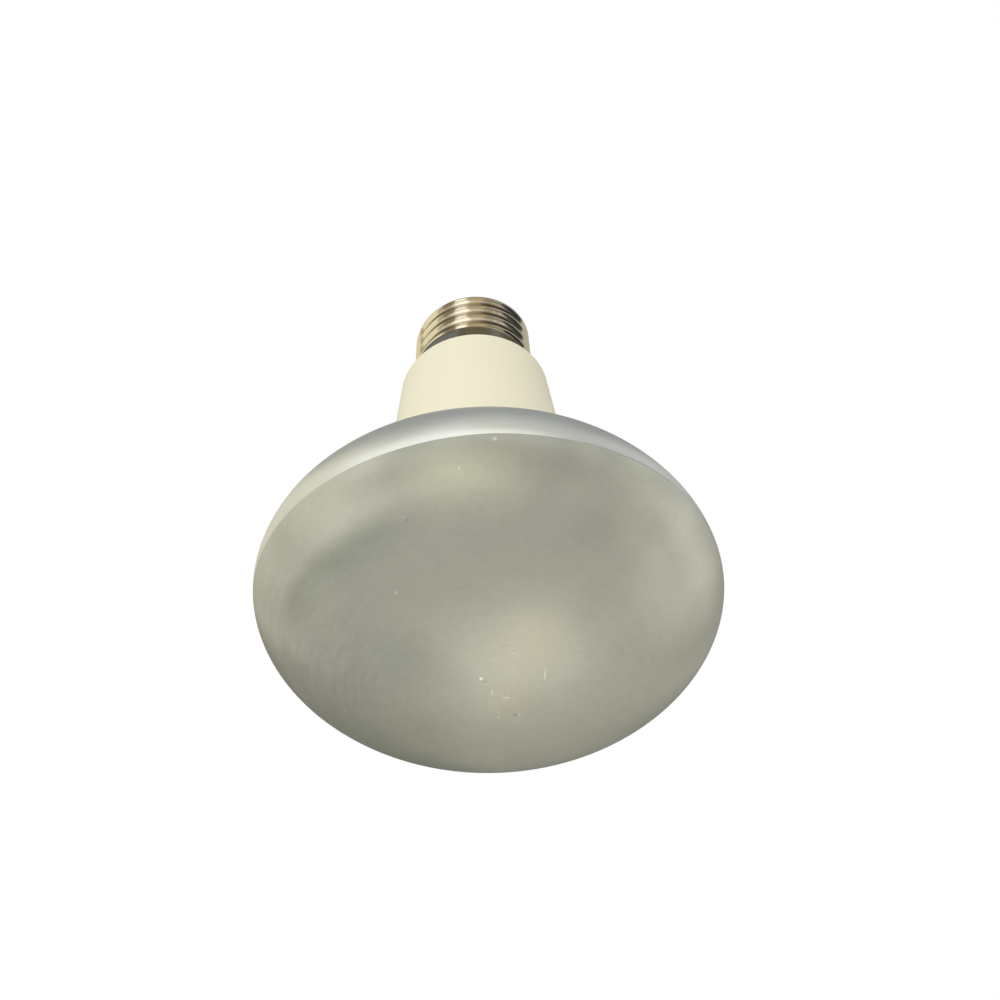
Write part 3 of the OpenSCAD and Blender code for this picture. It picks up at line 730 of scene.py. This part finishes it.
def cream_material():
    """Cream moulded plastic with a fine satin surface."""
    look = looks()
    f = Finish("cream_plastic")
    cloud = f.noise(50, detail=2, seed=5.2)
    fine = f.noise(1600, detail=2, seed=2.4)
    f.feed("Base Color", f.mix(cloud, shade(look.cream, 0.98), shade(look.cream, 1.02)))
    f.feed("Roughness", f.plus(0.40, f.times(fine, 0.08)))
    f.feed("Normal", f.bump(fine, 0.006, 0.3))
    return f.material


# Front of the thread, where a painted highlight lightens the grooves: centre in mm
GROOVE_HIGHLIGHT = (-1.5, -13, -12)


def nickel_material():
    """Rolled sheet plated with nickel, duller and browner in the grooves."""
    look = looks()
    f = Finish("nickel_plated_brass", Metallic=1.0)
    groove = f.add("ShaderNodeAttribute", attribute_name="groove").outputs["Fac"]
    streak = f.noise(260, detail=3, stretch=(1, 1, 0.15), seed=8.3)
    # Darker, browner and rougher towards the bottom of each groove
    darkening = f.times(f.smooth(groove, 0.45, 0.85), f.plus(0.65, f.times(streak, 0.5)))
    # Painted highlight: less darkening in the grooves at the front, where the reflected light runs
    darkening = f.times(darkening, f.plus(1, f.times(f.spot(GROOVE_HIGHLIGHT, 5.5, stretch=(1, 1, 3), core=0.4), -0.6)))
    cloud = f.mix(f.noise(90, detail=3, seed=2.9), shade(look.nickel, 0.94), shade(look.nickel, 1.06))
    f.feed("Base Color", f.mix(darkening, cloud, tuple(look.groove_darkening)))
    f.feed("Roughness", f.plus(0.15, f.times(darkening, 0.2)))
    f.feed("Normal", f.bump(f.noise(700, detail=2, stretch=(1, 1, 0.2), seed=3.3), 0.01, 0.25))
    return f.material


def plain_finish(name, colour, accent, scale, roughness, metallic=0.0, depth=0.01):
    """A finish for a small piece: two close tones, and a fine relief that breaks up its gloss."""
    f = Finish(name, Metallic=metallic)
    pattern = f.noise(scale, detail=4, seed=len(name) * 0.7)
    f.feed("Base Color", f.mix(pattern, colour, accent))
    f.feed("Roughness", f.plus(roughness - 0.06, f.times(pattern, 0.12)))
    f.feed("Normal", f.bump(f.noise(scale * 4, seed=1.3), depth, 0.4))
    return f.material


# Finishes of the other nodes: first tone, second tone, cells to a metre, roughness, metallic
NODE_FINISHES = {
    "neck_cement": ((0.66, 0.63, 0.55), (0.55, 0.52, 0.44), 700, 0.9, 0.0),
    "circuit_board": ((0.36, 0.23, 0.09), (0.28, 0.17, 0.06), 300, 0.55, 0.0),
    "electrolytic_capacitor": ((0.02, 0.03, 0.06), (0.03, 0.04, 0.08), 200, 0.3, 0.0),
    "choke_core": ((0.05, 0.05, 0.055), (0.08, 0.08, 0.085), 900, 0.6, 0.0),
    "choke_bobbin": ((0.6, 0.54, 0.36), (0.55, 0.49, 0.32), 200, 0.5, 0.0),
    "choke_winding": ((0.6, 0.24, 0.08), (0.45, 0.15, 0.04), 1200, 0.3, 0.8),
    "film_capacitor": ((0.3, 0.03, 0.02), (0.36, 0.05, 0.03), 250, 0.3, 0.0),
    "toroid_core": ((0.06, 0.06, 0.065), (0.09, 0.09, 0.1), 900, 0.6, 0.0),
    "toroid_winding": ((0.6, 0.26, 0.1), (0.45, 0.17, 0.05), 1200, 0.3, 0.8),
    "transistors": ((0.02, 0.02, 0.02), (0.03, 0.03, 0.03), 800, 0.5, 0.0),
    "rectifier_diodes": ((0.02, 0.02, 0.02), (0.03, 0.03, 0.03), 800, 0.5, 0.0),
    "fuse_resistor": ((0.2, 0.28, 0.16), (0.16, 0.23, 0.13), 500, 0.35, 0.0),
    "contact_lead": ((0.6, 0.6, 0.58), (0.5, 0.5, 0.48), 900, 0.3, 1.0),
    "shell_lead": ((0.6, 0.6, 0.58), (0.5, 0.5, 0.48), 900, 0.3, 1.0),
    "lamp_leads": ((0.55, 0.53, 0.48), (0.45, 0.43, 0.39), 900, 0.35, 1.0),
}


# Cards that only reflections see: azimuth and elevation in degrees, distance, width and height in
# metres, colour
CARDS = (
    ("ceiling_card", 90, 88, 0.50, 0.50, 0.50, (0.17, 0.18, 0.19)),
    ("dusk_ceiling", 90, 84, 0.55, 2.2, 1.8, (0.10, 0.085, 0.065)),
    ("back_card", 90, 22, 0.9, 1.5, 1.5, (0.10, 0.12, 0.12)),
    ("edge_card", 116, 18, 0.5, 0.42, 0.78, (0.09, 0.07, 0.05)),
    ("gold_card", 156, 18, 0.5, 0.34, 0.78, (0.85, 0.81, 0.64)),
    ("bronze_card", -157, 18, 0.5, 0.66, 0.78, (0.47, 0.41, 0.30)),
    ("pale_card", -159, 18, 0.485, 0.31, 0.78, (0.88, 0.86, 0.68)),
    ("umber_card", -123, 18, 0.485, 0.175, 0.78, (0.24, 0.195, 0.13)),
    ("tan_card", -80, 18, 0.45, 0.23, 0.70, (0.47, 0.40, 0.27)),
    ("brown_card", -54, 18, 0.46, 0.28, 0.72, (0.28, 0.25, 0.20)),
    ("dark_card", -10, 21, 0.44, 0.54, 0.60, (0.02, 0.024, 0.032)),
    ("edge_light", 19, 18, 0.43, 0.23, 0.70, (0.52, 0.51, 0.46)),
    ("grey_card", 38, 18, 0.47, 0.34, 0.73, (0.40, 0.40, 0.36)),
    ("blue_card", -14, 42, 0.32, 0.44, 0.12, (0.55, 0.58, 0.55)),
    ("window_card", -99, 28, 0.50, 0.235, 0.46, (1.35, 1.34, 1.28)),
    ("near_window", -117, 11.3, 0.0816, 0.047, 0.034, (1.36, 1.34, 1.27)),
    ("near_strip", -82, 13.7, 0.0823, 0.052, 0.0155, (2.2, 2.2, 2.1)),
    ("side_strip", -33, 32, 0.0707, 0.05, 0.014, (0.88, 0.90, 0.86)),
    ("top_strip", -76, 33, 0.066, 0.055, 0.013, (0.62, 0.64, 0.62)),
    ("front_strip", -128, -24, 0.40, 0.58, 0.10, (1.6, 1.56, 1.42)),
    ("right_strip", -14, -27, 0.40, 0.54, 0.11, (1.5, 1.5, 1.4)),
    ("low_left_card", 150, -52, 0.36, 0.50, 0.32, (0.05, 0.06, 0.05)),
    ("low_back_card", 116, -20, 0.38, 0.20, 0.32, (0.06, 0.07, 0.05)),
    ("low_front_card", 80, -12, 0.40, 0.24, 0.16, (0.30, 0.29, 0.24)),
)


# Operators


class LAMP_OT_stage(bpy.types.Operator):
    """Floor, backdrop, soft lamps, cards and the camera at the photograph's angle."""

    bl_idname = "lamp.stage"
    bl_label = "Stage"

    def execute(self, context):
        context.scene.view_settings.view_transform = "Standard"
        self.aim = Vector((0, 0, widest_z()))
        self.floor(context)
        self.backdrop(context)
        self.lamps(context)
        self.cards(context)
        self.camera(context)
        return {"FINISHED"}

    def floor(self, context):
        """Pale floor below the hanging lamp."""
        half, z = 30.0, context.scene.lamp_stage.floor_z
        corners = [(-half, -half, z), (half, -half, z), (half, half, z), (-half, half, z)]
        floor = new_piece("floor", corners, (), [(0, 1, 2, 3)])
        f = Finish("pale_floor", Roughness=0.9)
        f.feed("Base Color", f.mix(f.noise(4), (0.86, 0.86, 0.85), (0.89, 0.89, 0.88)))
        floor.data.materials.append(f.material)

    def backdrop(self, context):
        """White for the camera and in reflections, and a plain soft light for the rest."""
        world = bpy.data.worlds.new("backdrop")
        context.scene.world = world
        world.use_nodes = True
        n = Nodes(world.node_tree)
        sky = world.node_tree.nodes["Background"]
        path = n.add("ShaderNodeLightPath").outputs
        seen = n.math("MAXIMUM", path["Is Glossy Ray"], path["Is Transmission Ray"])
        seen = n.math("MAXIMUM", path["Is Camera Ray"], seen)
        soft = context.scene.lamp_stage.sky
        n.put(sky.inputs["Strength"], n.plus(soft, n.times(seen, 1 - soft)))
        n.put(sky.inputs["Color"], (1, 1, 1))

    def at(self, azimuth, elevation, distance):
        """A place round the glass."""
        a, e = math.radians(azimuth), math.radians(elevation)
        level = math.cos(e)
        return self.aim + distance * Vector((level * math.cos(a), level * math.sin(a), math.sin(e)))

    def lamps(self, context):
        """A large soft lamp on the left, and a small one below and behind the face.

        The large one is hidden from reflections, where the window card stands for it.
        """
        stage = context.scene.lamp_stage
        for name, azimuth, elevation, distance, size, power, colour in (
            ("key_lamp", -109, 35, 1.0, (0.56, 0.66), stage.key, (1, 1, 1)),
            ("low_lamp", 66, -67, 0.2, (0.14, 0.14), stage.low, (1, 0.90, 0.76)),
        ):
            light = bpy.data.lights.new(name, "AREA")
            light.shape = "RECTANGLE"
            light.size, light.size_y = size
            light.energy = power
            light.color = colour
            lamp = bpy.data.objects.new(name, light)
            lamp.location = self.at(azimuth, elevation, distance)
            lamp.visible_camera = False
            lamp.visible_glossy = name != "key_lamp"
            lamp.rotation_euler = (self.aim - lamp.location).to_track_quat("-Z", "Y").to_euler()
            context.scene.collection.objects.link(lamp)

    def cards(self, context):
        """Plain cards, bright and dark, that only reflections see."""
        for name, azimuth, elevation, distance, width, height, colour in CARDS:
            place = self.at(azimuth, elevation, distance)
            turn = (self.aim - place).to_track_quat("-Z", "Y").to_matrix()
            corners = [
                tuple(place + turn @ Vector((sx * width / 2, sy * height / 2, 0)))
                for sx, sy in ((-1, -1), (1, -1), (1, 1), (-1, 1))
            ]
            card = new_piece(name, corners, (), [(0, 1, 2, 3)])
            f = Finish(name + "_paint", Roughness=1.0)
            f.put(f.shader.inputs["Base Color"], (0, 0, 0))
            f.put(f.shader.inputs["Emission Color"], colour)
            f.put(f.shader.inputs["Emission Strength"], 1.0)
            card.data.materials.append(f.material)
            card.visible_camera = card.visible_diffuse = False
            card.visible_shadow = card.visible_transmission = False

    def camera(self, context):
        """Camera in front of and below the face, looking up, with the lamp left of its axis."""
        place = self.aim + Vector((0, -128.8, -112.5)) * MM
        target = self.aim + Vector((-20.55, -15.26, 12.36)) * MM
        roll = math.radians(-5.386)
        width_px, focal_px, principal_px = 1000, 970.5, 360
        lens = bpy.data.cameras.new("camera")
        lens.sensor_width = 36
        lens.lens = focal_px / width_px * lens.sensor_width
        lens.shift_x = 0.5 - principal_px / width_px
        lens.clip_start, lens.clip_end = 0.01, 100
        camera = bpy.data.objects.new("camera", lens)
        look = (target - place).normalized()
        turn = Matrix.Rotation(roll, 3, look) @ look.to_track_quat("-Z", "Y").to_matrix()
        camera.rotation_euler = turn.to_euler()
        camera.location = place
        context.scene.collection.objects.link(camera)
        context.scene.camera = camera


class LAMP_OT_glass(bpy.types.Operator):
    """Blown glass bulb with its satin face and silvered back."""

    bl_idname = "lamp.glass"
    bl_label = "Glass"

    def execute(self, context):
        piece = turned_piece("glass_bulb", bulb_outline(), satin_glass_material(), segments=256)
        finish_piece(piece, "bulb")
        return {"FINISHED"}


class LAMP_OT_housing(bpy.types.Operator):
    """Cream moulded housing with its spigot and ribs."""

    bl_idname = "lamp.housing"
    bl_label = "Housing"

    def execute(self, context):
        s = sizes()
        cream = cream_material()
        piece = turned_piece("moulded_housing", housing_outline(), cream, segments=192, closed=True)
        ribs = self.ribs(s, cream)
        edit(piece, lambda work: work.from_mesh(ribs.data))
        bpy.data.objects.remove(ribs)
        finish_piece(piece, "housing")
        return {"FINISHED"}

    def ribs(self, s, material):
        """Three ribs that stand out from the tapered wall above the circuit board."""
        root = 0.4 * MM
        end_z = SHOULDER_Z - s.wall
        face_r = housing_radius(end_z) - s.wall - s.rib_depth
        profile = [
            (face_r, BOARD_TOP_Z),
            (housing_radius(BOARD_TOP_Z) - s.wall + root, BOARD_TOP_Z),
            (housing_radius(end_z) - s.wall + root, end_z + root),
            (face_r, end_z + root),
        ]
        points = [(r, side * s.rib_w / 2, z) for side in (-1, 1) for r, z in profile]
        sides = [(i, (i + 1) % 4, (i + 1) % 4 + 4, i + 4) for i in range(4)]
        faces = [(3, 2, 1, 0), (4, 5, 6, 7)] + sides
        rib = new_piece("rib", points, (), faces)
        return run_tree(rib, ring_tree(), Count=3, First_angle=math.radians(60), Material=material)


class LAMP_OT_shell(bpy.types.Operator):
    """Nickel-plated screw shell with its rolled round thread."""

    bl_idname = "lamp.shell"
    bl_label = "Screw shell"

    def execute(self, context):
        s = sizes()
        thread = {
            "Pitch": s.pitch,
            "Thread_depth": s.thread_depth,
            "Thread_foot": SHOULDER_Z + s.skirt_h,
            "Thread_top": SHELL_END_Z - s.roll_r,
            "Thread_runout": s.pitch / 3,
            "Thread_turn": s.thread_turn,
            "Roll_height": s.roll_r,
        }
        piece = turned_piece(
            "threaded_shell", shell_outline(), nickel_material(), segments=160, closed=True, **thread)
        finish_piece(piece, "screw_shell")
        return {"FINISHED"}


class LAMP_OT_contact(bpy.types.Operator):
    """Glass insulator, contact plate and the drop of solder on it."""

    bl_idname = "lamp.contact"
    bl_label = "Contact end"

    def execute(self, context):
        glass = plain_finish(
            "black_glass", (0.012, 0.012, 0.016), (0.024, 0.02, 0.026), 300, 0.16, depth=0.02)
        brass = plain_finish(
            "brass_plate", (0.72, 0.52, 0.24), (0.58, 0.4, 0.18), 500, 0.3, metallic=1.0)
        tin = plain_finish(
            "tin_solder", (0.58, 0.58, 0.57), (0.42, 0.42, 0.42), 420, 0.34, metallic=1.0, depth=0.06)
        for name, node, slot, outline, material, closed in (
            ("glass_insulator", "insulator", "black_glass", insulator_outline(), glass, True),
            ("contact_plate", "centre_contact", "brass_contact", contact_outline(), brass, True),
            ("solder_drop", "contact_solder", "solder", solder_outline(), tin, False),
        ):
            piece = turned_piece(name, outline, material, segments=96, closed=closed)
            finish_piece(piece, node)
        return {"FINISHED"}


class LAMP_OT_driver(bpy.types.Operator):
    """Finishes of the cement and the driver, which keep the solid model's own shape."""

    bl_idname = "lamp.driver"
    bl_label = "Cement and driver"

    def execute(self, context):
        for node, (colour, accent, scale, roughness, metallic) in NODE_FINISHES.items():
            finish = plain_finish(node + "_finish", colour, accent, scale, roughness, metallic)
            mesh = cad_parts[node].data
            mesh.materials.clear()
            mesh.materials.append(finish)
        return {"FINISHED"}


class LAMP_PT_panel(bpy.types.Panel):
    """The lamp's steps and settings in the sidebar."""

    bl_idname = "LAMP_PT_panel"
    bl_label = "Reflector lamp"
    bl_space_type = "VIEW_3D"
    bl_region_type = "UI"
    bl_category = "Lamp"

    def draw(self, context):
        for step in STEPS:
            self.layout.operator(step.bl_idname)
        scene = context.scene
        for group in (scene.lamp_sizes, scene.lamp_looks, scene.lamp_stage):
            for name in group.__annotations__:
                self.layout.prop(group, name)


STEPS = (LAMP_OT_stage, LAMP_OT_glass, LAMP_OT_housing, LAMP_OT_shell, LAMP_OT_contact, LAMP_OT_driver)
GROUPS = {"lamp_sizes": LampSizes, "lamp_looks": LampLooks, "lamp_stage": StageLook}
CLASSES = (*GROUPS.values(), *STEPS, LAMP_PT_panel)


def register():
    """Registers the classes and the lamp's settings."""
    for cls in CLASSES:
        bpy.utils.register_class(cls)
    for name, group in GROUPS.items():
        setattr(bpy.types.Scene, name, bpy.props.PointerProperty(type=group))


def unregister():
    """Takes the settings and classes away again."""
    for name in GROUPS:
        delattr(bpy.types.Scene, name)
    for cls in reversed(CLASSES):
        bpy.utils.unregister_class(cls)


def main():
    register()
    for step in STEPS:
        group, name = step.bl_idname.split(".")
        getattr(getattr(bpy.ops, group), name)()
    bpy.context.view_layer.update()


if __name__ == "__main__":
    main()
